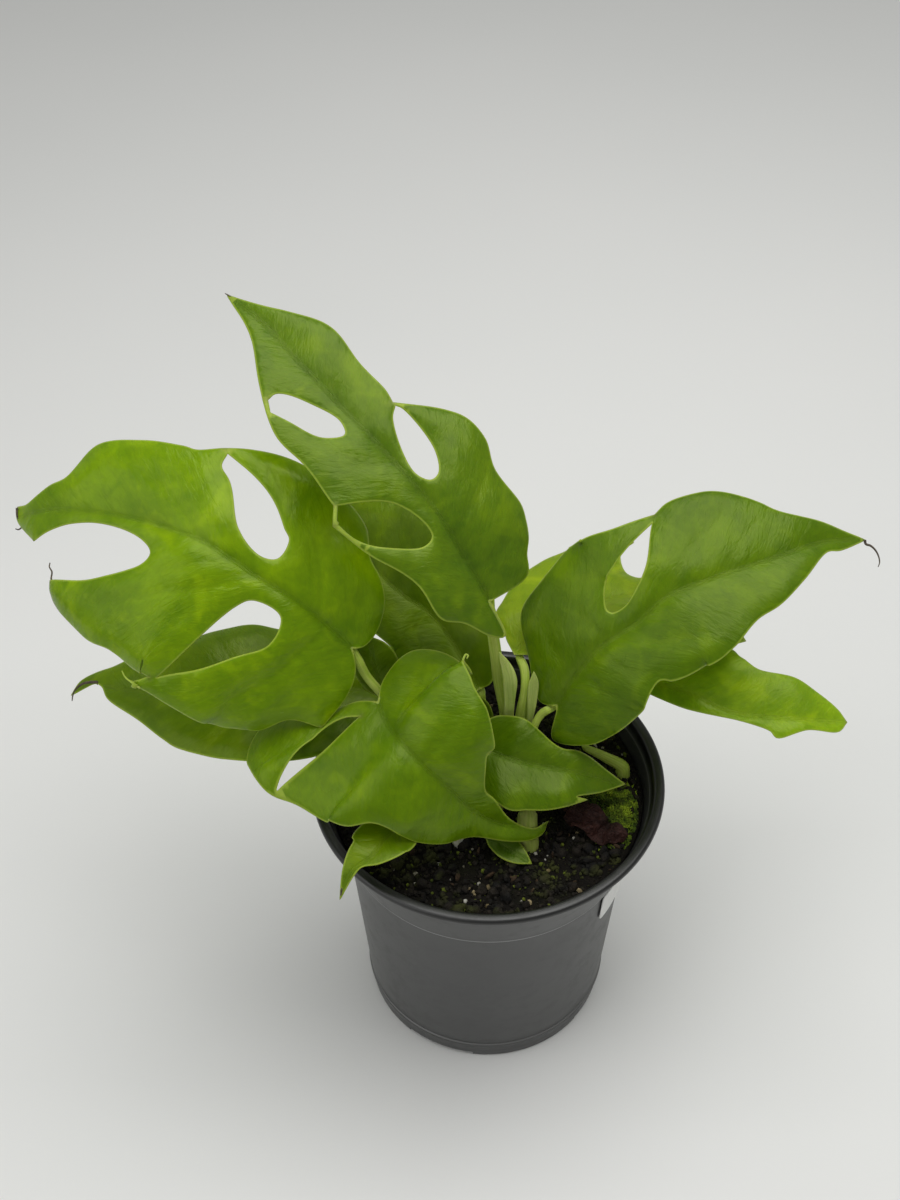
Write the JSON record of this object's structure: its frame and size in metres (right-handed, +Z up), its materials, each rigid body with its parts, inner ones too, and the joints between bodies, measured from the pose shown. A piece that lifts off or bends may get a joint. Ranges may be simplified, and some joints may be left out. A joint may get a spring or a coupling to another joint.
{
  "type": "potted mini monstera",
  "caption": "Young split-leaf climbing plant with fenestrated leaves on slender petioles, growing in peat in a round tapered nursery pot.",
  "frame": {"origin": "middle of the flat underside of the pot, on the ground", "axes": "+Z up along the pot's axis; -Y towards the front, where the low front leaf hangs over the rim; +X towards the large right leaf"},
  "size_m": [0.2427, 0.1213, 0.2194],
  "materials": {
    "pot_plastic": "satin dark grey moulded polypropylene",
    "growing_medium": "moist dark peat with pale grains",
    "moss": "fine bright green moss cushion",
    "label_paper": "plain white paper, blank",
    "leaf": "waxy yellow-green blade with a paler margin",
    "petiole": "smooth pale green stalk",
    "sheath": "thin pale sheath",
    "dead_leaf": "dry dark brown scrap",
    "cut_stub": "pale dried cut end"
  },
  "bodies": {
    "root": {"label_blank": "label_paper", "leaf_back": "leaf", "leaf_front": "leaf", "leaf_front_left": "leaf", "leaf_front_right": "leaf", "leaf_left": "leaf", "leaf_left_low": "leaf", "leaf_litter_inner": "dead_leaf", "leaf_litter_outer": "dead_leaf", "leaf_right": "leaf", "leaf_right_back": "leaf", "leaf_right_low": "leaf", "leaf_seedling": "leaf", "leaf_small_left": "leaf", "leaf_small_mid": "leaf", "leaf_top": "leaf", "moss_patch": "moss", "petiole_back": "petiole", "petiole_front": "petiole", "petiole_front_left": "petiole", "petiole_front_right": "petiole", "petiole_left": "petiole", "petiole_left_low": "petiole", "petiole_right": "petiole", "petiole_right_back": "petiole", "petiole_right_low": "petiole", "petiole_small_left": "petiole", "petiole_top": "petiole", "pot": "pot_plastic", "sheath_right": "sheath", "sheath_top": "sheath", "soil": "growing_medium", "stalk_young": "petiole", "stem_front": "petiole", "stem_right": "petiole", "stub_front": "cut_stub"}
  },
  "joints": []
}
